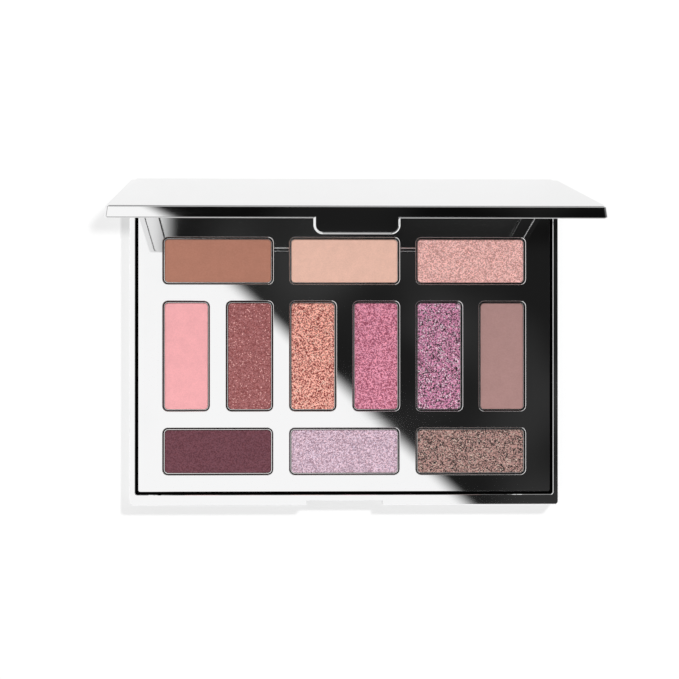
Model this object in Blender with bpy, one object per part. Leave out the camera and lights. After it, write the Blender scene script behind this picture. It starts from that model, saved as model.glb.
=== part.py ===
"""Twelve-shade eyeshadow palette in a mirror-bright metallised case, its lid standing open.

World frame, in metres: X runs along the case, +Y points to the hinge, and Z = 0 is the underside.
The lid is modelled closed, in the frame of its hinge axis, and that axis then swings it open.
"""

import math

import bmesh
import bpy
from mathutils import Vector

MM = 0.001

# Case: a shallow base and a lid with the same outline.
CASE_LENGTH = 136.6 * MM
CASE_DEPTH = 103.0 * MM
CASE_CORNER = 1.2 * MM
BASE_HEIGHT = 9.5 * MM
BASE_FLOOR = 1.6 * MM
SIDE_RIM = 1.8 * MM
FRONT_RIM = 3.35 * MM
REAR_LAND = 10.4 * MM
RIM_FLARE = 0.15 * MM
EDGE_SOFTENING = 0.25 * MM
UNDERSIDE_EDGE = 0.6 * MM

# Hinge: an axis level with the base's rim, in a trough between two ears at the rear corners.
HINGE_INSET = 3.0 * MM
TROUGH_RADIUS = 4.3 * MM
BARREL_RADIUS = 2.6 * MM
PIN_RADIUS = 0.7 * MM
PIN_CLEARANCE = 0.05 * MM
PIN_LENGTH = 18.0 * MM
PIN_SETBACK = 0.3 * MM
STOP_DROP = 3.1 * MM
STOP_DEPTH = 1.2 * MM
REST_OPENING = math.radians(81.2)

# Lid, measured in its closed position.
LID_GAP = 0.3 * MM
LID_THICKNESS = 3.4 * MM
LID_SKIN = 1.5 * MM
LID_DRAFT = 0.526 * MM
LID_EDGE = 0.35 * MM
LID_SIDE_RIM = 2.0 * MM
LID_FRONT_RIM = 2.5 * MM
LID_REAR_LAND = 7.6 * MM

# Mirror and the frame that trims it.
FRAME_BORDER = 4.5 * MM
FRAME_THICKNESS = 1.6 * MM
FRAME_SETBACK = 0.1 * MM
MIRROR_THICKNESS = 1.1 * MM
MIRROR_SETBACK = 0.3 * MM
ADHESIVE_SHEET = 0.15 * MM
FIT_GAP = 0.3 * MM

# Latch: a tab on the lid drops into a recess in the base's front wall.
TAB_WIDTH = 23.5 * MM
TAB_DROP = 4.3 * MM
TAB_THICKNESS = 1.2 * MM
TAB_CORNER = 2.5 * MM
TAB_EDGE = 0.6 * MM
RECESS_WIDTH = 24.4 * MM
RECESS_DEPTH = 1.5 * MM
CATCH_STAND = 0.25 * MM
CATCH_LENGTH = 16.0 * MM
LEDGE_BOTTOM = 6.7 * MM
LEDGE_TOP = 7.3 * MM
BEAD_BOTTOM = 5.8 * MM
BEAD_TOP = 6.4 * MM

# Shade tray: one pocket for each pan, below a flat mirror-bright plate.
SHADOW_GAP = 0.7 * MM
TRAY_REAR_GAP = 0.4 * MM
TRAY_SETBACK = 1.0 * MM
TRAY_PLATE = 1.2 * MM
TRAY_SKIRT = 1.0 * MM
TRAY_CORNER = 0.8 * MM
POCKET_LONG = 35.05 * MM
POCKET_SHORT = 14.9 * MM
POCKET_CORNER = 1.7 * MM
POCKET_BEVEL = 0.12 * MM
POCKET_WALL = 0.9 * MM
POCKET_FLOOR_Z = 3.8 * MM
POCKET_FLOOR = 0.8 * MM
UPRIGHT_PITCH = 20.15 * MM
ROW_OFFSET = 30.35 * MM
SHADES_CENTRE_Y = -4.08 * MM
SUPPORT_RIB = 1.2 * MM

# Pans and the powder pressed into them.
PAN_GAP = 0.3 * MM
PAN_WALL = 0.3 * MM
PAN_BOTTOM_Z = 4.3 * MM
PAN_RIM_Z = 8.0 * MM
POWDER_GAP = 0.05 * MM
POWDER_FLOOR_GAP = 0.1 * MM
POWDER_TOP_Z = 7.85 * MM
POWDER_EDGE = 0.15 * MM
PAD_LONG = 22.0 * MM
PAD_SHORT = 8.0 * MM
PAD_THICKNESS = 0.2 * MM

# Blank label let into the underside.
LABEL_LENGTH = 52.0 * MM
LABEL_DEPTH = 22.0 * MM
LABEL_THICKNESS = 0.15 * MM
LABEL_RECESS = 0.25 * MM
LABEL_CENTRE_Y = 25.0 * MM
LABEL_CORNER = 1.5 * MM

CORNER_STEPS = 4
ROUND_SIDES = 24
SHARP_ANGLE = math.radians(35.0)

SIDES = ((-1, "left"), (1, "right"))
HALF_X = CASE_LENGTH / 2
HALF_Y = CASE_DEPTH / 2
HINGE_Y = HALF_Y - HINGE_INSET
HINGE = Vector((0.0, HINGE_Y, BASE_HEIGHT))
CAVITY_FRONT = -HALF_Y + FRONT_RIM
CAVITY_REAR = HALF_Y - REAR_LAND
TRAY_FRONT = CAVITY_FRONT + SHADOW_GAP
TRAY_REAR = CAVITY_REAR - TRAY_REAR_GAP
TRAY_TOP = BASE_HEIGHT - TRAY_SETBACK
LID_BOTTOM = BASE_HEIGHT + LID_GAP
LID_TOP = LID_BOTTOM + LID_THICKNESS
LID_CAVITY_TOP = LID_TOP - LID_SKIN

# Shade name, place in the tray (column steps, row, upright or not), and colour.
FLAT_COLUMN = 2 * UPRIGHT_PITCH
SHADES = (
    ("cocoa", -FLAT_COLUMN, ROW_OFFSET, False, (0.42, 0.19, 0.13)),
    ("peach", 0.0, ROW_OFFSET, False, (0.75, 0.47, 0.38)),
    ("rose", FLAT_COLUMN, ROW_OFFSET, False, (0.67, 0.38, 0.35)),
    ("blush", -2.5 * UPRIGHT_PITCH, 0.0, True, (0.91, 0.43, 0.44)),
    ("garnet", -1.5 * UPRIGHT_PITCH, 0.0, True, (0.35, 0.13, 0.13)),
    ("copper", -0.5 * UPRIGHT_PITCH, 0.0, True, (0.62, 0.28, 0.22)),
    ("raspberry", 0.5 * UPRIGHT_PITCH, 0.0, True, (0.55, 0.20, 0.28)),
    ("mauve", 1.5 * UPRIGHT_PITCH, 0.0, True, (0.40, 0.18, 0.27)),
    ("taupe", 2.5 * UPRIGHT_PITCH, 0.0, True, (0.41, 0.24, 0.23)),
    ("plum", -FLAT_COLUMN, -ROW_OFFSET, False, (0.16, 0.06, 0.08)),
    ("lilac", 0.0, -ROW_OFFSET, False, (0.60, 0.43, 0.52)),
    ("bronze", FLAT_COLUMN, -ROW_OFFSET, False, (0.29, 0.18, 0.16)),
)


def clear_scene():
    """Remove every object that the file opened with."""
    for obj in list(bpy.data.objects):
        bpy.data.objects.remove(obj, do_unlink=True)


def new_collection(name):
    """Add a collection to the scene."""
    collection = bpy.data.collections.new(name)
    bpy.context.scene.collection.children.link(collection)
    return collection


def material(name, colour, metallic, roughness):
    """Principled material with one colour."""
    mat = bpy.data.materials.new(name)
    mat.use_nodes = True
    shader = mat.node_tree.nodes["Principled BSDF"]
    shader.inputs["Base Color"].default_value = (*colour, 1.0)
    shader.inputs["Metallic"].default_value = metallic
    shader.inputs["Roughness"].default_value = roughness
    return mat


def upright_edges(bm):
    """Edges that run from the bottom of a block to its top."""
    return [e for e in bm.edges if abs(e.verts[0].co.z - e.verts[1].co.z) > MM / 100]


def rim_edges(bm, z):
    """Edges that lie in the level z."""
    return [e for e in bm.edges if all(abs(v.co.z - z) < MM / 100 for v in e.verts)]


def bevel(bm, edges, width, steps):
    """Round or chamfer the given edges."""
    bmesh.ops.bevel(bm, geom=edges, offset=width, segments=steps, profile=0.5, affect="EDGES")


def block(low, high, corner=0.0, draft=0.0, top_edge=0.0, bottom_edge=0.0):
    """Box between two corners, with rounded uprights, a draft towards its top and softened rims."""
    low, high = Vector(low), Vector(high)
    bm = bmesh.new()
    bmesh.ops.create_cube(bm, size=1.0)
    bmesh.ops.scale(bm, vec=high - low, verts=bm.verts)
    bmesh.ops.translate(bm, vec=(low + high) / 2, verts=bm.verts)
    centre = (low + high) / 2
    for vert in bm.verts:
        if draft and vert.co.z > centre.z:
            vert.co.x -= math.copysign(draft, vert.co.x - centre.x)
            vert.co.y -= math.copysign(draft, vert.co.y - centre.y)
    if corner:
        bevel(bm, upright_edges(bm), corner, CORNER_STEPS)
    if top_edge:
        bevel(bm, rim_edges(bm, high.z), top_edge, 1)
    if bottom_edge:
        bevel(bm, rim_edges(bm, low.z), bottom_edge, 1)
    return bm


def flare_top(bm, width):
    """Carry a block's top face up and outwards at 45 degrees, to twice the given width."""
    step = 2 * width
    top = max(bm.faces, key=lambda face: face.calc_center_median().z)
    centre = top.calc_center_median()
    flared = bmesh.ops.extrude_discrete_faces(bm, faces=[top])["faces"][0]
    half_x = max(v.co.x for v in flared.verts) - centre.x
    half_y = max(v.co.y for v in flared.verts) - centre.y
    for vert in flared.verts:
        vert.co.x = centre.x + (vert.co.x - centre.x) * (1 + step / half_x)
        vert.co.y = centre.y + (vert.co.y - centre.y) * (1 + step / half_y)
        vert.co.z += step
    return bm


def rod(x0, x1, radius, y=0.0, z=0.0, sides=ROUND_SIDES):
    """Cylinder along X between x0 and x1."""
    bm = bmesh.new()
    bmesh.ops.create_cone(
        bm, cap_ends=True, segments=sides, radius1=radius, radius2=radius, depth=abs(x1 - x0)
    )
    for vert in bm.verts:
        vert.co = Vector((vert.co.z + (x0 + x1) / 2, vert.co.x + y, vert.co.y + z))
    return bm


def mesh_from(bm, name):
    """Turn a bmesh into a mesh."""
    mesh = bpy.data.meshes.new(name)
    bm.to_mesh(mesh)
    bm.free()
    return mesh


def merge(*shapes):
    """Put several separate shapes into one bmesh."""
    result = bmesh.new()
    for shape in shapes:
        part = mesh_from(shape, "merged")
        result.from_mesh(part)
        bpy.data.meshes.remove(part)
    return result


def add(name, mesh, collection, mat=None, parent=None, location=(0.0, 0.0, 0.0)):
    """Add a mesh to the model as an object."""
    obj = bpy.data.objects.new(name, mesh)
    obj.location = location
    obj.parent = parent
    collection.objects.link(obj)
    if mat and not mesh.materials:
        mesh.materials.append(mat)
    return obj


class Model:
    """Collections of the palette and of the shapes that cut it."""

    def __init__(self):
        self.parts = new_collection("eyeshadow_palette")
        self.cutters = new_collection("cutters")

    def part(self, name, bm, mat, parent=None):
        """Add a sub-part from a bmesh."""
        return add(name, mesh_from(bm, name), self.parts, mat, parent)

    def combine(self, obj, name, bm, operation):
        """Cut a shape from a part, or join it on."""
        tool = add(name, mesh_from(bm, name), self.cutters, parent=obj.parent)
        tool.hide_render = True
        tool.display_type = "WIRE"
        boolean = obj.modifiers.new(name, "BOOLEAN")
        boolean.operation = operation
        boolean.solver = "EXACT"
        boolean.object = tool
        return tool

    def cut(self, obj, name, bm):
        """Cut a shape out of a part, and return the cutter."""
        return self.combine(obj, name, bm, "DIFFERENCE")

    def join(self, obj, name, bm):
        """Join a shape onto a part."""
        return self.combine(obj, name, bm, "UNION")


def shade(obj):
    """Smooth shading that keeps the folds of a mesh sharp."""
    obj.data.shade_smooth()
    obj.data.set_sharp_from_angle(angle=SHARP_ANGLE)


def pocket_size(upright):
    """Half length and half depth of a pocket."""
    half = (POCKET_LONG / 2, POCKET_SHORT / 2)
    return half[::-1] if upright else half


def shade_block(shade, shrink, bottom, top, corner, **edges):
    """Block around one shade's place in the tray, inset from its pocket's walls."""
    _, x, row, upright, _ = shade
    half_x, half_y = pocket_size(upright)
    y = SHADES_CENTRE_Y + row
    low = (x - half_x + shrink, y - half_y + shrink, bottom)
    high = (x + half_x - shrink, y + half_y - shrink, top)
    return block(low, high, corner=corner, **edges)


def build_base(model, mat):
    """Base: an open tray with a hinge trough between two ears, and a latch recess."""
    base = model.part(
        "base_case",
        block(
            (-HALF_X, -HALF_Y, 0.0),
            (HALF_X, HALF_Y, BASE_HEIGHT),
            corner=CASE_CORNER,
            top_edge=EDGE_SOFTENING,
            bottom_edge=UNDERSIDE_EDGE,
        ),
        mat,
    )
    cavity = block(
        (-HALF_X + SIDE_RIM, CAVITY_FRONT, BASE_FLOOR),
        (HALF_X - SIDE_RIM, CAVITY_REAR, BASE_HEIGHT - RIM_FLARE),
        corner=TRAY_CORNER,
    )
    model.cut(base, "tray_cavity", flare_top(cavity, RIM_FLARE))
    add_hinge_seat(model, base)
    add_latch_recess(model, base)
    add_support_ribs(model, base)
    label_recess = block(
        (-LABEL_LENGTH / 2 - FIT_GAP, LABEL_CENTRE_Y - LABEL_DEPTH / 2 - FIT_GAP, -MM),
        (LABEL_LENGTH / 2 + FIT_GAP, LABEL_CENTRE_Y + LABEL_DEPTH / 2 + FIT_GAP, LABEL_RECESS + FIT_GAP),
        corner=LABEL_CORNER,
    )
    model.cut(base, "label_recess", label_recess)
    return base


def add_latch_recess(model, base):
    """Recess that takes the lid's tab, and the ledge that the tab's bead snaps under."""
    back = -HALF_Y + RECESS_DEPTH
    recess = block(
        (-RECESS_WIDTH / 2, -HALF_Y - MM, -MM),
        (RECESS_WIDTH / 2, back, BASE_HEIGHT + MM),
    )
    model.cut(base, "latch_recess", recess)
    ledge = block(
        (-CATCH_LENGTH / 2, back - CATCH_STAND, LEDGE_BOTTOM),
        (CATCH_LENGTH / 2, back + MM, LEDGE_TOP),
    )
    model.join(base, "latch_ledge", ledge)


def add_hinge_seat(model, base):
    """Trough for the lid's barrel, a ledge that stops the lid, and an ear at each end for a pin."""
    inner = HALF_X - SIDE_RIM
    trough = rod(-inner, inner, TROUGH_RADIUS, HINGE_Y, BASE_HEIGHT, 2 * ROUND_SIDES)
    model.cut(base, "hinge_trough", trough)
    stop_top = BASE_HEIGHT - STOP_DROP
    ledge = block(
        (-inner - SIDE_RIM / 2, HALF_Y - STOP_DEPTH, stop_top - STOP_DEPTH),
        (inner + SIDE_RIM / 2, HALF_Y, stop_top),
    )
    model.join(base, "lid_stop", ledge)
    for side, name in SIDES:
        x0, x1 = sorted((side * inner, side * HALF_X))
        ear = rod(x0, x1, BARREL_RADIUS, HINGE_Y, BASE_HEIGHT)
        model.join(base, name + "_ear", ear)
        bore = rod(x0 - MM, x1 + MM, PIN_RADIUS + PIN_CLEARANCE, HINGE_Y, BASE_HEIGHT)
        model.cut(base, name + "_ear_bore", bore)


def add_support_ribs(model, base):
    """Ribs on the base's floor that carry the tray's pockets."""
    top = POCKET_FLOOR_Z - POCKET_FLOOR - FIT_GAP
    reach = FLAT_COLUMN + POCKET_LONG / 2
    for index, row in enumerate((-ROW_OFFSET, 0.0, ROW_OFFSET)):
        y = SHADES_CENTRE_Y + row
        rib = block(
            (-reach, y - SUPPORT_RIB / 2, BASE_FLOOR - MM),
            (reach, y + SUPPORT_RIB / 2, top),
        )
        model.join(base, "support_rib_%d" % index, rib)


def build_label(model, mat):
    """Blank label in its recess under the base."""
    bottom = LABEL_RECESS - LABEL_THICKNESS
    label = block(
        (-LABEL_LENGTH / 2, LABEL_CENTRE_Y - LABEL_DEPTH / 2, bottom),
        (LABEL_LENGTH / 2, LABEL_CENTRE_Y + LABEL_DEPTH / 2, LABEL_RECESS),
        corner=LABEL_CORNER,
    )
    model.part("underside_label", label, mat)


def pocket_cutter(shade):
    """Well for one pan, flared at the plate's surface."""
    bm = shade_block(shade, 0.0, POCKET_FLOOR_Z, TRAY_TOP - POCKET_BEVEL, POCKET_CORNER)
    return flare_top(bm, POCKET_BEVEL)


def pocket_walls(bottom, top):
    """Blocks that stand around the pockets, out to the faces of their walls."""
    return merge(*(shade_block(shade, -POCKET_WALL, bottom, top, 0.0) for shade in SHADES))


def build_tray(model, mat):
    """Tray: a bright plate with twelve pockets hanging from it and a skirt around them."""
    half_x = HALF_X - SIDE_RIM - SHADOW_GAP
    low = Vector((-half_x, TRAY_FRONT, BASE_FLOOR + FIT_GAP))
    high = Vector((half_x, TRAY_REAR, TRAY_TOP))
    tray = model.part(
        "shade_tray", block(low, high, corner=TRAY_CORNER, top_edge=EDGE_SOFTENING), mat
    )
    inset = Vector((TRAY_SKIRT, TRAY_SKIRT, 0.0))
    inner_low, inner_high = low + inset, high - inset
    relief_top = POCKET_FLOOR_Z - POCKET_FLOOR
    hollow = block((*inner_low.xy, 0.0), (*inner_high.xy, TRAY_TOP - TRAY_PLATE))
    hollow_tool = model.cut(tray, "tray_hollow", hollow)
    model.cut(hollow_tool, "pocket_walls", pocket_walls(relief_top, TRAY_TOP))
    wells = merge(*(pocket_cutter(shade) for shade in SHADES))
    model.cut(tray, "tray_pockets", wells)
    return tray


def cup(bm, wall, floor):
    """Hollow a block out from its top, leaving walls and a floor."""
    top = max(bm.faces, key=lambda face: face.calc_center_median().z)
    depth = top.calc_center_median().z - min(v.co.z for v in bm.verts) - floor
    bmesh.ops.inset_region(bm, faces=[top], thickness=wall)
    top = max(bm.faces, key=lambda face: (round(face.calc_center_median().z, 6), len(face.verts)))
    sunk = bmesh.ops.extrude_discrete_faces(bm, faces=[top])["faces"][0]
    for vert in sunk.verts:
        vert.co.z -= depth
    return bm


def build_shade(model, shade, tin, glue):
    """One shade: a metal pan, its pressed powder, and the pad that holds the pan down."""
    name, x, row, upright, colour = shade
    pan = shade_block(shade, PAN_GAP, PAN_BOTTOM_Z, PAN_RIM_Z, POCKET_CORNER - PAN_GAP)
    model.part("pan_" + name, cup(pan, PAN_WALL, PAN_WALL), tin)
    inset = PAN_GAP + PAN_WALL + POWDER_GAP
    powder = shade_block(
        shade,
        inset,
        PAN_BOTTOM_Z + PAN_WALL + POWDER_FLOOR_GAP,
        POWDER_TOP_Z,
        POCKET_CORNER - inset,
        top_edge=POWDER_EDGE,
    )
    model.part("powder_" + name, powder, material(name, colour, 0.0, 0.8))
    half = Vector((PAD_LONG / 2, PAD_SHORT / 2))
    half = half.yx if upright else half
    centre = Vector((x, SHADES_CENTRE_Y + row))
    middle_z = (POCKET_FLOOR_Z + PAN_BOTTOM_Z) / 2
    pad = block(
        (*(centre - half), middle_z - PAD_THICKNESS / 2),
        (*(centre + half), middle_z + PAD_THICKNESS / 2),
    )
    model.part("glue_pad_" + name, pad, glue)


def in_hinge_frame(low, high):
    """Corners given in the closed palette's frame, moved to the hinge axis's frame."""
    return Vector(low) - HINGE, Vector(high) - HINGE


def build_lid(model, axis, mat):
    """Lid shell: a drafted plate with a recess for the mirror, hinge barrels and the latch tab."""
    low, high = in_hinge_frame((-HALF_X, -HALF_Y, LID_BOTTOM), (HALF_X, HALF_Y, LID_TOP))
    shell = block(
        low, high, corner=CASE_CORNER, draft=LID_DRAFT, top_edge=LID_EDGE, bottom_edge=LID_EDGE
    )
    lid = model.part("lid_shell", shell, mat, axis)
    low, high = in_hinge_frame(
        (-HALF_X + LID_SIDE_RIM, -HALF_Y + LID_FRONT_RIM, LID_BOTTOM - MM),
        (HALF_X - LID_SIDE_RIM, HALF_Y - LID_REAR_LAND, LID_CAVITY_TOP),
    )
    model.cut(lid, "lid_recess", block(low, high, corner=TRAY_CORNER))
    add_tab(model, lid)
    barrel_end = HALF_X - SIDE_RIM - FIT_GAP
    model.join(lid, "hinge_barrel", rod(-barrel_end, barrel_end, BARREL_RADIUS))
    for side, name in SIDES:
        cut_ear_notch(model, lid, side, name)
        pin_inner = HALF_X - PIN_SETBACK - PIN_LENGTH - FIT_GAP
        bore = rod(*sorted((side * pin_inner, side * HALF_X)), PIN_RADIUS + PIN_CLEARANCE)
        model.cut(lid, name + "_pin_bore", bore)
    return lid


def add_tab(model, lid):
    """Latch tab that carries the lid's front face on down, with its snap bead."""
    back = -HALF_Y + TAB_THICKNESS
    low, high = in_hinge_frame(
        (-TAB_WIDTH / 2, -HALF_Y, LID_BOTTOM - TAB_DROP),
        (TAB_WIDTH / 2, back, LID_BOTTOM + LID_THICKNESS / 2),
    )
    tab = block(low, high)
    slope = LID_DRAFT / LID_THICKNESS
    lid_bottom = LID_BOTTOM - HINGE.z
    front = [v for v in tab.verts if abs(v.co.y - low.y) < MM / 100]
    for vert in front:
        vert.co.y += slope * (vert.co.z - lid_bottom)
    lower_corners = [
        e for e in tab.edges if all(v.co.z < lid_bottom for v in e.verts) and runs_along_y(e)
    ]
    bevel(tab, lower_corners, TAB_CORNER, 2 * CORNER_STEPS)
    bevel(tab, front_outline(tab), TAB_EDGE, 1)
    model.join(lid, "latch_tab", tab)
    low, high = in_hinge_frame(
        (-CATCH_LENGTH / 2, back - TAB_THICKNESS / 2, BEAD_BOTTOM),
        (CATCH_LENGTH / 2, back + CATCH_STAND, BEAD_TOP),
    )
    model.join(lid, "latch_bead", block(low, high))


def runs_along_y(edge):
    """True for an edge that runs from a block's front to its back."""
    return abs(edge.verts[0].co.x - edge.verts[1].co.x) < MM / 100


def front_outline(tab):
    """Edges around the tab's front face, but for the one inside the lid."""
    tab.normal_update()
    face = min(tab.faces, key=lambda f: f.normal.y)
    top = max(v.co.z for v in face.verts)
    return [e for e in face.edges if not all(abs(v.co.z - top) < MM / 10 for v in e.verts)]


def cut_ear_notch(model, lid, side, name):
    """Notch in a rear corner of the lid that leaves room for an ear of the base."""
    x0, x1 = sorted((side * (HALF_X - SIDE_RIM - FIT_GAP), side * (HALF_X + MM)))
    front = -BARREL_RADIUS - FIT_GAP
    notch = block((x0, front, -MM), (x1, HINGE_INSET + MM, LID_THICKNESS + MM))
    model.cut(lid, name + "_ear_notch", notch)


def build_mirror(model, axis, frame_mat, mirror_mat, adhesive_mat):
    """Mirror, the frame that trims its edge, and the sheet that glues it to the lid."""
    front = -HALF_Y + LID_FRONT_RIM + FIT_GAP
    rear = HALF_Y - LID_REAR_LAND - FIT_GAP
    half_x = HALF_X - LID_SIDE_RIM - FIT_GAP
    bottom = LID_BOTTOM + FRAME_SETBACK
    low, high = in_hinge_frame((-half_x, front, bottom), (half_x, rear, bottom + FRAME_THICKNESS))
    outline = block(low, high, corner=TRAY_CORNER, bottom_edge=EDGE_SOFTENING)
    frame = model.part("mirror_frame", outline, frame_mat, axis)
    border = Vector((FRAME_BORDER, FRAME_BORDER, -MM))
    model.cut(frame, "mirror_window", block(low + border, high - border))
    inset = Vector((FRAME_BORDER + FIT_GAP, FRAME_BORDER + FIT_GAP, 0.0))
    glass_low, glass_high = low + inset, high - inset
    glass_low.z = LID_BOTTOM + MIRROR_SETBACK - HINGE.z
    glass_high.z = glass_low.z + MIRROR_THICKNESS
    glass = block(glass_low, glass_high, bottom_edge=EDGE_SOFTENING)
    model.part("mirror", glass, mirror_mat, axis)
    margin = Vector((FRAME_BORDER, FRAME_BORDER, 0.0))
    sheet_low, sheet_high = glass_low + margin, glass_high - margin
    middle_z = (glass_high.z + LID_CAVITY_TOP - HINGE.z) / 2
    sheet_low.z = middle_z - ADHESIVE_SHEET / 2
    sheet_high.z = middle_z + ADHESIVE_SHEET / 2
    model.part("mirror_adhesive", block(sheet_low, sheet_high), adhesive_mat, axis)


def build_pins(model, axis, mat):
    """Steel wire pins that run from the base's ears into each end of the lid's barrel."""
    outer = HALF_X - PIN_SETBACK
    for side, name in SIDES:
        x0, x1 = sorted((side * (outer - PIN_LENGTH), side * outer))
        model.part("hinge_pin_" + name, rod(x0, x1, PIN_RADIUS), mat, axis)


def add_hinge_axis(model):
    """Empty on the hinge axis, which swings the closed lid to where it stands."""
    axis = bpy.data.objects.new("lid_hinge_axis", None)
    axis.location = HINGE
    axis.rotation_euler.x = -REST_OPENING
    model.parts.objects.link(axis)
    return axis


def main():
    """Build the palette."""
    clear_scene()
    model = Model()
    metallised = material("metallised_plastic", (0.86, 0.86, 0.87), 1.0, 0.06)
    silvering = material("silvered_glass", (0.9, 0.91, 0.92), 1.0, 0.02)
    tin = material("tinplate", (0.7, 0.69, 0.67), 1.0, 0.3)
    steel = material("steel_wire", (0.55, 0.55, 0.56), 1.0, 0.25)
    glue = material("clear_adhesive", (0.8, 0.78, 0.7), 0.0, 0.5)
    paper = material("label_paper", (0.85, 0.85, 0.84), 0.0, 0.6)
    build_base(model, metallised)
    build_label(model, paper)
    build_tray(model, metallised)
    for shade_entry in SHADES:
        build_shade(model, shade_entry, tin, glue)
    axis = add_hinge_axis(model)
    build_lid(model, axis, metallised)
    build_mirror(model, axis, metallised, silvering, glue)
    build_pins(model, axis, steel)
    for obj in model.parts.objects:
        if obj.type == "MESH":
            shade(obj)


main()
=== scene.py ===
"""Looks of the twelve-shade eyeshadow palette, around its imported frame."""
import math

import bmesh
import bpy
from mathutils import Matrix, Vector


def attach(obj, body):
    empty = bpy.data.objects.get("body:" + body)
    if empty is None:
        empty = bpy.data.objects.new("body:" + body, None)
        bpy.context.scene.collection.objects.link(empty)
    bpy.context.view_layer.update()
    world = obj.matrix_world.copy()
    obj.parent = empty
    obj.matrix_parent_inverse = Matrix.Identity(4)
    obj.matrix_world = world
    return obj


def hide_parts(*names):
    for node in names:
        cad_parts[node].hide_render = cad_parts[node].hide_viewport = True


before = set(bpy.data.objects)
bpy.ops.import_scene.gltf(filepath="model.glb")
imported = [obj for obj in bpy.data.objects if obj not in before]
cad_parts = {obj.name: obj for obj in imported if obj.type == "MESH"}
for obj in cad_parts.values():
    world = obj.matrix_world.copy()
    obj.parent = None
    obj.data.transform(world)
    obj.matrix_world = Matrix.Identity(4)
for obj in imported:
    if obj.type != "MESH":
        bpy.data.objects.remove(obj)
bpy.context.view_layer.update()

MM = 0.001

# Camera over the palette, looking almost straight down.
CAMERA_PLACE = Vector((-21.8, -1.3, 655.9)) * MM
CAMERA_AIM = Vector((-1.65, 1.2, 9.5)) * MM
CAMERA_LENS = 107.75

# Floor: a glow keeps its shadows light, and it darkens far off in front and behind. Each fade
# has its way, the distances along it where it starts and ends, and the level it ends at.
FLOOR_GLOW = 0.485
FLOOR_ALBEDO = 0.3
FLOOR_DROP = 0.2 * MM
FLOOR_HALF = 6.0
FLOOR_FADES = (
    (Vector((0.45, -0.9, 0.0)), (0.7, 1.2), 0.14),
    (Vector((0.3, 0.95, 0.0)), (0.3, 1.0), 0.4),
)

# Surround: white on the left and behind, dark on the right and in front, 1 being paper white.
WHITE_CARD = 0.98
DARK_OVERHEAD = 0.012
DARK_OVERHEAD_PATCH = 0.034
DARK_PATCH_SCALE = 14.0
DARK_PATCH_SPAN = (0.4, 0.65)
REAR_DIMMING = (0.044, 0.06)
REAR_DIMMED = 0.35
DARK_AT_HORIZON = 0.16
DIAGONAL_OFFSET = 0.0124
DIAGONAL_SLOPE = 1.055
FRONT_EDGE_X = -0.0543
FRONT_TURN = (-0.25, -0.12)
CARD_SOFTNESS = 0.0068
REAR_TURN = (0.2, 0.5)
REAR_AT_HORIZON = 0.35
REAR_RISE = (0.05, 0.55)
BAND_START = (0.4, 0.56)
BAND_END = (0.68, 0.82)
BAND_LEVEL = 0.45
HORIZON_TURN = (0.9, 0.5)

# Lights: place, size and power. The key and the top light draw the base's and the lid's shadows
# on the floor, the fill evens the powders.
KEY_LIGHT = (Vector((1050.0, 1150.0, 3000.0)) * MM, 260 * MM, 80.0)
TOP_LIGHT = (Vector((300.0, -20.0, 3000.0)) * MM, 110 * MM, 60.0)
FILL_LIGHT = (Vector((-200.0, -700.0, 900.0)) * MM, 600 * MM, 11.1)

# Rounding added to the edges.
CASE_ROUNDING = 0.06 * MM
PAN_ROUNDING = 0.1 * MM
POWDER_ROUNDING = 0.08 * MM
TRIM_ROUNDING = 0.03 * MM
GLASS_ROUNDING = 0.05 * MM
ROUNDING_SEGMENTS = 3
FLAT_FACE_WEIGHT = 100
SHARP_TURN = math.radians(28)
FLAT_TURN = math.radians(0.5)
WELD = 0.001 * MM

# The mirror and its frame fit the lid closely: how far their outlines grow, and what counts as one.
TRIM_GROWTH = 0.26 * MM
GLASS_GROWTH = 0.14 * MM
OUTLINE_DEPTH = 2.0 * MM
LID_WAY = Vector((0.0, -0.1530, 0.9882))

# Where the metallised film stops and the faces take the near-black painted shade that darkens the gap
# around the tray.
CAVITY_HALF_X = 66.7 * MM
CAVITY_FRONT_Y = -48.3 * MM
CAVITY_REAR_Y = 42.5 * MM
CAVITY_Z = (1.0 * MM, 9.3 * MM)
TRAY_FILM_Z = 8.3 * MM

# Relief of the fine surface grain.
FINE_RELIEF = 0.02 * MM

# Grains and flakes per metre, and how much the grains of a glittery shade stray at least.
GRAIN_CELLS = 3500.0
FLAKE_CELLS = 3900.0
GLITTERY = 0.1

# Powders: mean display colour, how far single grains stray from it, share of the flakes that
# sparkle and the pale glint colour painted on them as their highlight, and how pearly the shade is.
SHADES = {
    "cocoa": dict(mean=(172, 116, 96), grain=0.03),
    "peach": dict(mean=(229, 184, 166), grain=0.03),
    "rose": dict(mean=(221, 170, 164), grain=0.34, sheen=0.3),
    "blush": dict(mean=(239, 168, 171), grain=0.03),
    "garnet": dict(mean=(150, 87, 87), grain=0.3, sparkle=0.05, glint=(235, 175, 170)),
    "copper": dict(mean=(204, 137, 121), grain=0.7, sparkle=0.08, glint=(255, 215, 195), sheen=0.4),
    "raspberry": dict(mean=(197, 121, 143), grain=0.5, sheen=0.4),
    "mauve": dict(mean=(160, 89, 122), grain=1.0, sparkle=0.12, glint=(250, 230, 240), sheen=0.3),
    "taupe": dict(mean=(166, 128, 124), grain=0.03),
    "plum": dict(mean=(100, 52, 63), grain=0.26),
    "lilac": dict(mean=(197, 169, 184), grain=0.42, sheen=0.3),
    "bronze": dict(mean=(132, 94, 87), grain=1.15, sparkle=0.08, glint=(225, 205, 190), sheen=0.4),
}


def srgb(red, green, blue):
    """Linear colour of an 8-bit display colour."""

    def channel(value):
        value /= 255
        return value / 12.92 if value <= 0.04045 else ((value + 0.055) / 1.055) ** 2.4

    return (channel(red), channel(green), channel(blue), 1.0)


def grey(level):
    """Neutral colour."""
    return (level, level, level, 1.0)


# ---------------------------------------------------------------- node helpers


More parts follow.
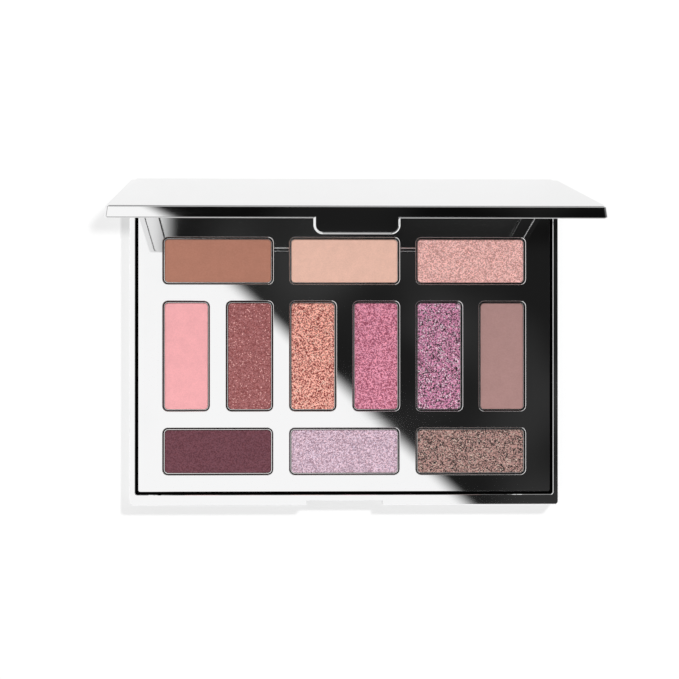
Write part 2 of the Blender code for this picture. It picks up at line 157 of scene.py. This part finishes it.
class Tree:
    """Shorthand for building a node tree."""

    def __init__(self, tree):
        self.tree = tree

    def feed(self, socket, value):
        """Give a socket a value or a link."""
        if isinstance(value, bpy.types.NodeSocket):
            self.tree.links.new(value, socket)
        else:
            socket.default_value = value

    def node(self, kind, inputs, **settings):
        """Add a node, with its settings and its inputs."""
        node = self.tree.nodes.new(kind)
        for key, value in settings.items():
            setattr(node, key, value)
        for key, value in inputs.items():
            self.feed(node.inputs[key], value)
        return node

    def maths(self, operation, first, second):
        """Result of an operation on two values."""
        return self.node("ShaderNodeMath", {0: first, 1: second}, operation=operation).outputs[0]

    def remap(self, value, span, result=(0.0, 1.0)):
        """Stretch a value from one span to another, eased and clamped."""
        inputs = {0: value, 1: span[0], 2: span[1], 3: result[0], 4: result[1]}
        return self.node("ShaderNodeMapRange", inputs, interpolation_type="SMOOTHSTEP").outputs[0]

    def mix(self, factor, first, second, blend="MIX"):
        """Mix of two colours."""
        inputs = {0: factor, 6: first, 7: second}
        return self.node("ShaderNodeMix", inputs, data_type="RGBA", blend_type=blend).outputs[2]

    def channels(self, colour):
        """Channels of a colour or the parts of a vector."""
        return self.node("ShaderNodeSeparateXYZ", {0: colour}).outputs


class Shader(Tree):
    """A material's node tree with a Principled shader."""

    def __init__(self, name, colour, metallic, roughness):
        self.material = bpy.data.materials.new(name)
        self.material.use_nodes = True
        super().__init__(self.material.node_tree)
        self.bsdf = self.tree.nodes["Principled BSDF"]
        self.coords = self.node("ShaderNodeTexCoord", {}).outputs["Object"]
        self.surface("Base Color", colour)
        self.surface("Metallic", metallic)
        self.surface("Roughness", roughness)

    def surface(self, socket, value):
        """Feed one of the shader's own sockets."""
        self.feed(self.bsdf.inputs[socket], value)

    def stretched(self, scale):
        """Object coordinates stretched by a vector."""
        return self.node("ShaderNodeMapping", {"Vector": self.coords, "Scale": scale}).outputs[0]

    def noise(self, scale, detail=2.0, vector=None):
        """Noise of 1 / scale metres, mostly between 0.3 and 0.7."""
        inputs = {"Vector": vector or self.coords, "Scale": scale, "Detail": detail}
        return self.node("ShaderNodeTexNoise", inputs).outputs["Fac"]

    def cells(self, scale):
        """Random values, three for each cell of 1 / scale metres."""
        inputs = {"Vector": self.coords, "Scale": scale}
        return self.channels(self.node("ShaderNodeTexVoronoi", inputs).outputs["Color"])

    def bump(self, height, strength, distance, normal=None):
        """Bump from a height, over an earlier one."""
        inputs = {"Height": height, "Strength": strength, "Distance": distance}
        if normal:
            inputs["Normal"] = normal
        return self.node("ShaderNodeBump", inputs).outputs[0]


# ---------------------------------------------------------------- materials


def chrome():
    """Vacuum-metallised plastic: nearly a mirror, with faint haze, ripple and handling marks."""
    shader = Shader("metallised_case", (0.93, 0.93, 0.933, 1.0), 1.0, 0.03)
    haze = shader.remap(shader.noise(45.0, detail=3.0), (0.35, 0.7), (0.01, 0.024))
    hairline = shader.noise(1.0, detail=4.0, vector=shader.stretched((250.0, 7000.0, 4000.0)))
    marks = shader.remap(hairline, (0.62, 0.8), (0.0, 0.03))
    shader.surface("Roughness", shader.maths("ADD", haze, marks))
    smudge = shader.remap(shader.noise(30.0, detail=4.0), (0.5, 0.75))
    shader.surface("Base Color", shader.mix(smudge, (0.935, 0.935, 0.938, 1.0), (0.915, 0.917, 0.92, 1.0)))
    shader.surface("Specular Tint", grey(0.84))
    shader.surface("Normal", shader.bump(shader.noise(90.0, detail=1.0), 0.02, FINE_RELIEF))
    return shader.material


def gap_shade_black():
    """Near-black plastic where the film is left off, there as painted shade so the gap around the tray
    reads dark.
    """
    shader = Shader("gap_shade_moulding", grey(0.006), 0.0, 0.45)
    mottle = shader.noise(300.0, detail=4.0)
    shader.surface("Base Color", shader.mix(mottle, grey(0.004), grey(0.012)))
    shader.surface("Roughness", shader.remap(mottle, (0.3, 0.7), (0.4, 0.6)))
    shader.surface("Specular IOR Level", 0.25)
    shader.surface("Normal", shader.bump(shader.noise(4000.0), 0.15, FINE_RELIEF))
    return shader.material


def mirror_glass():
    """Silvered glass with a trace of dust."""
    shader = Shader("mirror_glass", (0.93, 0.945, 0.94, 1.0), 1.0, 0.01)
    dust = shader.remap(shader.noise(900.0, detail=3.0), (0.6, 0.8))
    shader.surface("Roughness", shader.remap(dust, (0.0, 1.0), (0.006, 0.04)))
    shader.surface("Base Color", shader.mix(dust, (0.93, 0.945, 0.94, 1.0), (0.9, 0.91, 0.905, 1.0)))
    return shader.material


def tinplate():
    """Drawn tinplate of the pans, with fine drawing lines."""
    shader = Shader("pan_tinplate", (0.78, 0.77, 0.76, 1.0), 1.0, 0.08)
    grain = shader.noise(1.0, detail=3.0, vector=shader.stretched((900.0, 900.0, 9000.0)))
    shader.surface("Base Color", shader.mix(grain, (0.72, 0.71, 0.7, 1.0), (0.84, 0.83, 0.82, 1.0)))
    shader.surface("Roughness", shader.remap(grain, (0.3, 0.7), (0.05, 0.12)))
    shader.surface("Normal", shader.bump(grain, 0.05, FINE_RELIEF))
    return shader.material


def steel_wire():
    """Bright drawn steel of the hinge pins."""
    shader = Shader("hinge_wire", (0.62, 0.62, 0.63, 1.0), 1.0, 0.25)
    grain = shader.noise(1.0, detail=3.0, vector=shader.stretched((200.0, 8000.0, 8000.0)))
    shader.surface("Base Color", shader.mix(grain, (0.55, 0.55, 0.56, 1.0), (0.68, 0.68, 0.69, 1.0)))
    shader.surface("Roughness", shader.remap(grain, (0.3, 0.7), (0.15, 0.35)))
    shader.surface("Normal", shader.bump(grain, 0.15, FINE_RELIEF))
    return shader.material


def adhesive():
    """Milky pressure-sensitive adhesive."""
    shader = Shader("adhesive", (0.8, 0.78, 0.7, 1.0), 0.0, 0.5)
    cloud = shader.noise(900.0)
    shader.surface("Base Color", shader.mix(cloud, (0.72, 0.7, 0.6, 1.0), (0.88, 0.87, 0.82, 1.0)))
    shader.surface("Roughness", shader.remap(cloud, (0.3, 0.7), (0.4, 0.6)))
    shader.surface("Normal", shader.bump(cloud, 0.3, 0.05 * MM))
    return shader.material


def label_paper():
    """Blank satin paper label."""
    shader = Shader("label_paper", grey(0.86), 0.0, 0.5)
    fibre = shader.noise(3500.0, detail=4.0)
    shader.surface("Base Color", shader.mix(fibre, grey(0.8), grey(0.92)))
    shader.surface("Roughness", shader.remap(fibre, (0.3, 0.7), (0.42, 0.6)))
    shader.surface("Normal", shader.bump(fibre, 0.2, FINE_RELIEF))
    return shader.material


def powder(name, mean, grain, sparkle=0.0, glint=(255, 255, 255), sheen=0.0):
    """Pressed powder: grains of varied tone, and mica flakes where the shade has them, painted with a pale
    glint colour that stands in for their highlights.
    """
    middle = srgb(*mean)
    shader = Shader("powder_" + name, middle, 0.5 * sheen, 0.75)
    fine = shader.noise(6500.0, detail=3.0)
    cell = shader.cells(GRAIN_CELLS)

    def tinted(colour, value, dark, bright):
        """Colour multiplied by a tone between two."""
        return shader.mix(1.0, colour, shader.mix(value, dark, bright), blend="MULTIPLY")

    strays = [grain * (max(middle[:3]) / value) ** 0.4 for value in middle[:3]]
    dark = (*(max(1.0 - stray, 0.0) for stray in strays), 1.0)
    bright = (*(1.0 + stray for stray in strays), 1.0)
    colour = tinted(middle, shader.remap(cell[0], (0.05, 0.95)), dark, bright)
    colour = tinted(colour, shader.remap(fine, (0.3, 0.7)), grey(0.94), grey(1.06))
    cloud = shader.remap(shader.noise(260.0, detail=3.0), (0.35, 0.65))
    colour = tinted(colour, cloud, grey(0.975), grey(1.02))
    if grain > GLITTERY:
        colour = tinted(colour, cell[2], (1.06, 0.97, 0.94, 1.0), (0.94, 1.03, 1.06, 1.0))
    rough = 0.8 - 0.35 * sheen
    if sparkle:
        # Flakes take the glint colour as their base colour: a painted highlight for their sparkle.
        flake = shader.remap(shader.cells(FLAKE_CELLS)[1], (1.0 - sparkle, 1.0 - 0.6 * sparkle))
        colour = shader.mix(flake, colour, srgb(*glint))
        shader.surface("Roughness", shader.remap(flake, (0.0, 1.0), (rough, 0.25)))
    else:
        shader.surface("Roughness", shader.remap(fine, (0.3, 0.7), (rough - 0.06, rough + 0.06)))
    shader.surface("Base Color", colour)
    relief = shader.bump(fine, 0.25, 0.03 * MM)
    if grain > GLITTERY:
        relief = shader.bump(cell[0], 0.25, 0.05 * MM, relief)
    shader.surface("Normal", relief)
    return shader.material


# ---------------------------------------------------------------- pieces


def in_case_cavity(centre):
    """Whether a face of the base lies inside its cavity."""
    return (
        abs(centre.x) < CAVITY_HALF_X
        and CAVITY_FRONT_Y < centre.y < CAVITY_REAR_Y
        and CAVITY_Z[0] < centre.z < CAVITY_Z[1]
    )


def below_tray_plate(centre):
    """Whether a face of the tray lies below its plate."""
    return centre.z < TRAY_FILM_Z


def grown(mesh, outer, inner=0.0):
    """Move a lid panel's outline outwards, and the edge of its opening inwards."""
    points = [Vector((vert.co.x, vert.co.dot(LID_WAY))) for vert in mesh.vertices]
    low = Vector((min(p.x for p in points), min(p.y for p in points)))
    high = Vector((max(p.x for p in points), max(p.y for p in points)))
    middle, half = (low + high) / 2, (high - low) / 2
    for vert, point in zip(mesh.vertices, points):
        offset = point - middle
        reach = max(abs(offset.x) - half.x, abs(offset.y) - half.y)
        growth = outer if reach > -OUTLINE_DEPTH else -inner
        vert.co.x += math.copysign(growth, offset.x)
        vert.co += LID_WAY * math.copysign(growth, offset.y)


def rounded(node, body, rounding, materials, second=None, growth=()):
    """Copy of a CAD node with its edges rounded and its flat faces kept flat.

    Faces for which second() is true take the second material.
    """
    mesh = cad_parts[node].data.copy()
    if growth:
        grown(mesh, *growth)
    bm = bmesh.new()
    bm.from_mesh(mesh)
    bmesh.ops.remove_doubles(bm, verts=bm.verts, dist=WELD)
    bmesh.ops.dissolve_limit(bm, angle_limit=FLAT_TURN, verts=bm.verts, edges=bm.edges)
    bm.to_mesh(mesh)
    bm.free()
    if "custom_normal" in mesh.attributes:
        mesh.attributes.remove(mesh.attributes["custom_normal"])
    mesh.shade_smooth()
    mesh.materials.clear()
    for material in materials:
        mesh.materials.append(material)
    for face in mesh.polygons:
        face.material_index = int(second is not None and second(face.center))
    piece = bpy.data.objects.new(node + "_finish", mesh)
    bpy.context.scene.collection.objects.link(piece)
    edges = piece.modifiers.new("edge_rounding", "BEVEL")
    edges.width = rounding
    edges.segments = ROUNDING_SEGMENTS
    edges.limit_method = "ANGLE"
    edges.angle_limit = SHARP_TURN
    normals = piece.modifiers.new("flat_faces", "WEIGHTED_NORMAL")
    normals.weight = FLAT_FACE_WEIGHT
    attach(piece, body)
    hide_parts(node)
    return piece


def dress():
    """Give every node its looks, and return the pieces that the lights need."""
    film = chrome()
    # The cavity walls and the tray's underside take the second, near-black material: painted shade for the
    # gap around the tray.
    case = [film, gap_shade_black()]
    base = rounded("base_case", "base", CASE_ROUNDING, case, in_case_cavity)
    tray = rounded("shade_tray", "base", CASE_ROUNDING, case, below_tray_plate)
    lid = rounded("lid_shell", "lid", CASE_ROUNDING, [film])
    trim = (TRIM_GROWTH, TRIM_GROWTH / 2)
    rounded("mirror_frame", "lid", TRIM_ROUNDING, [film], growth=trim)
    glass = [mirror_glass()]
    rounded("mirror", "lid", GLASS_ROUNDING, glass, growth=(GLASS_GROWTH,))
    tin = tinplate()
    cakes = []
    for name, shade in SHADES.items():
        rounded("pan_" + name, "base", PAN_ROUNDING, [tin])
        cake = [powder(name, **shade)]
        cakes.append(rounded("powder_" + name, "base", POWDER_ROUNDING, cake))
    plain = {"underside_label": label_paper(), "mirror_adhesive": adhesive()}
    plain["hinge_pin_left"] = plain["hinge_pin_right"] = steel_wire()
    for name in SHADES:
        plain["glue_pad_" + name] = plain["mirror_adhesive"]
    for node, material in plain.items():
        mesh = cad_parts[node].data
        mesh.materials.clear()
        mesh.materials.append(material)
    return base, lid, tray, cakes


# ---------------------------------------------------------------- studio


def add_camera():
    """Camera over the palette, upright along +Y."""
    data = bpy.data.cameras.new("camera")
    data.lens = CAMERA_LENS
    camera = bpy.data.objects.new("camera", data)
    camera.location = CAMERA_PLACE
    back = (CAMERA_PLACE - CAMERA_AIM).normalized()
    right = Vector((0.0, 1.0, 0.0)).cross(back).normalized()
    camera.rotation_euler = Matrix((right, back.cross(right), back)).transposed().to_euler()
    bpy.context.scene.collection.objects.link(camera)
    bpy.context.scene.camera = camera


def add_floor():
    """Plain pale floor."""
    mesh = bpy.data.meshes.new("floor")
    bm = bmesh.new()
    bmesh.ops.create_grid(bm, x_segments=1, y_segments=1, size=FLOOR_HALF)
    bm.to_mesh(mesh)
    bm.free()
    floor = bpy.data.objects.new("floor", mesh)
    floor.location.z = -FLOOR_DROP
    bpy.context.scene.collection.objects.link(floor)
    shader = Shader("floor", grey(FLOOR_ALBEDO), 0.0, 0.9)
    fade = 1.0
    for way, span, far in FLOOR_FADES:
        inputs = {0: shader.coords, 1: way}
        distance = shader.node("ShaderNodeVectorMath", inputs, operation="DOT_PRODUCT").outputs[1]
        fade = shader.maths("MULTIPLY", fade, shader.remap(distance, span, (1.0, far)))
    shader.surface("Base Color", shader.mix(fade, grey(0.0), grey(FLOOR_ALBEDO)))
    shader.surface("Emission Color", grey(1.0))
    shader.surface("Emission Strength", shader.maths("MULTIPLY", fade, FLOOR_GLOW))
    mesh.materials.append(shader.material)
    return floor


def add_world():
    """White and dark cards around the palette, which meet overhead on a diagonal."""
    world = bpy.data.worlds.new("studio")
    bpy.context.scene.world = world
    world.use_nodes = True
    sky = Tree(world.node_tree)
    direction = sky.node("ShaderNodeTexCoord", {}).outputs["Generated"]
    x, y, z = sky.channels(direction)
    diagonal = sky.maths("SUBTRACT", DIAGONAL_OFFSET, sky.maths("MULTIPLY", y, DIAGONAL_SLOPE))
    meeting = DIAGONAL_OFFSET - DIAGONAL_SLOPE * FRONT_TURN[1]
    inputs = {0: y, 1: FRONT_TURN[0], 2: FRONT_TURN[1], 3: FRONT_EDGE_X, 4: meeting}
    turn = sky.node("ShaderNodeMapRange", inputs).outputs[0]
    side = sky.maths("SUBTRACT", x, sky.maths("MINIMUM", diagonal, turn))
    dark = sky.remap(side, (-CARD_SOFTNESS, CARD_SOFTNESS))
    dark = sky.maths("MULTIPLY", dark, sky.remap(y, REAR_TURN, (1.0, 0.0)))
    inputs = {"Vector": direction, "Scale": DARK_PATCH_SCALE, "Detail": 1.0}
    patch = sky.node("ShaderNodeTexNoise", inputs)
    tones = (DARK_OVERHEAD, DARK_OVERHEAD_PATCH)
    overhead = sky.remap(patch.outputs["Fac"], DARK_PATCH_SPAN, tones)
    overhead = sky.maths("MULTIPLY", overhead, sky.remap(y, REAR_DIMMING, (1.0, REAR_DIMMED)))
    low = sky.remap(z, HORIZON_TURN)
    level = sky.mix(low, overhead, grey(DARK_AT_HORIZON))
    behind = sky.remap(z, REAR_RISE, (REAR_AT_HORIZON, 1.0))
    behind = sky.mix(sky.remap(y, REAR_TURN), grey(1.0), behind)
    band = sky.maths("MULTIPLY", sky.remap(z, BAND_START), sky.remap(z, BAND_END, (1.0, 0.0)))
    banded = sky.mix(band, grey(WHITE_CARD), grey(WHITE_CARD * BAND_LEVEL))
    white = sky.mix(1.0, behind, banded, blend="MULTIPLY")
    level = sky.mix(dark, white, level)
    sky.feed(world.node_tree.nodes["Background"].inputs["Color"], level)
    sky.feed(world.node_tree.nodes["Background"].inputs["Strength"], 1.0)


def grouped(name, objects):
    """Collection of some objects."""
    group = bpy.data.collections.new(name)
    for obj in objects:
        group.objects.link(obj)
    return group


def add_light(name, place, size, power, lit, blockers):
    """Round soft light, on some objects only and shadowed by some objects only."""
    data = bpy.data.lights.new(name, "AREA")
    data.shape = "DISK"
    data.size = size
    data.energy = power
    light = bpy.data.objects.new(name, data)
    light.location = place
    light.rotation_euler = (-place).to_track_quat("-Z", "Y").to_euler()
    bpy.context.scene.collection.objects.link(light)
    light.light_linking.receiver_collection = grouped(name + "_lit", lit)
    light.light_linking.blocker_collection = grouped(name + "_blockers", blockers)


bpy.context.scene.view_settings.view_transform = "Standard"
add_camera()
add_world()
floor = add_floor()
base, lid, tray, cakes = dress()
add_light("key", *KEY_LIGHT, lit=[floor], blockers=[base])
add_light("top", *TOP_LIGHT, lit=[floor], blockers=[lid])
add_light("fill", *FILL_LIGHT, lit=cakes, blockers=[tray, *cakes])
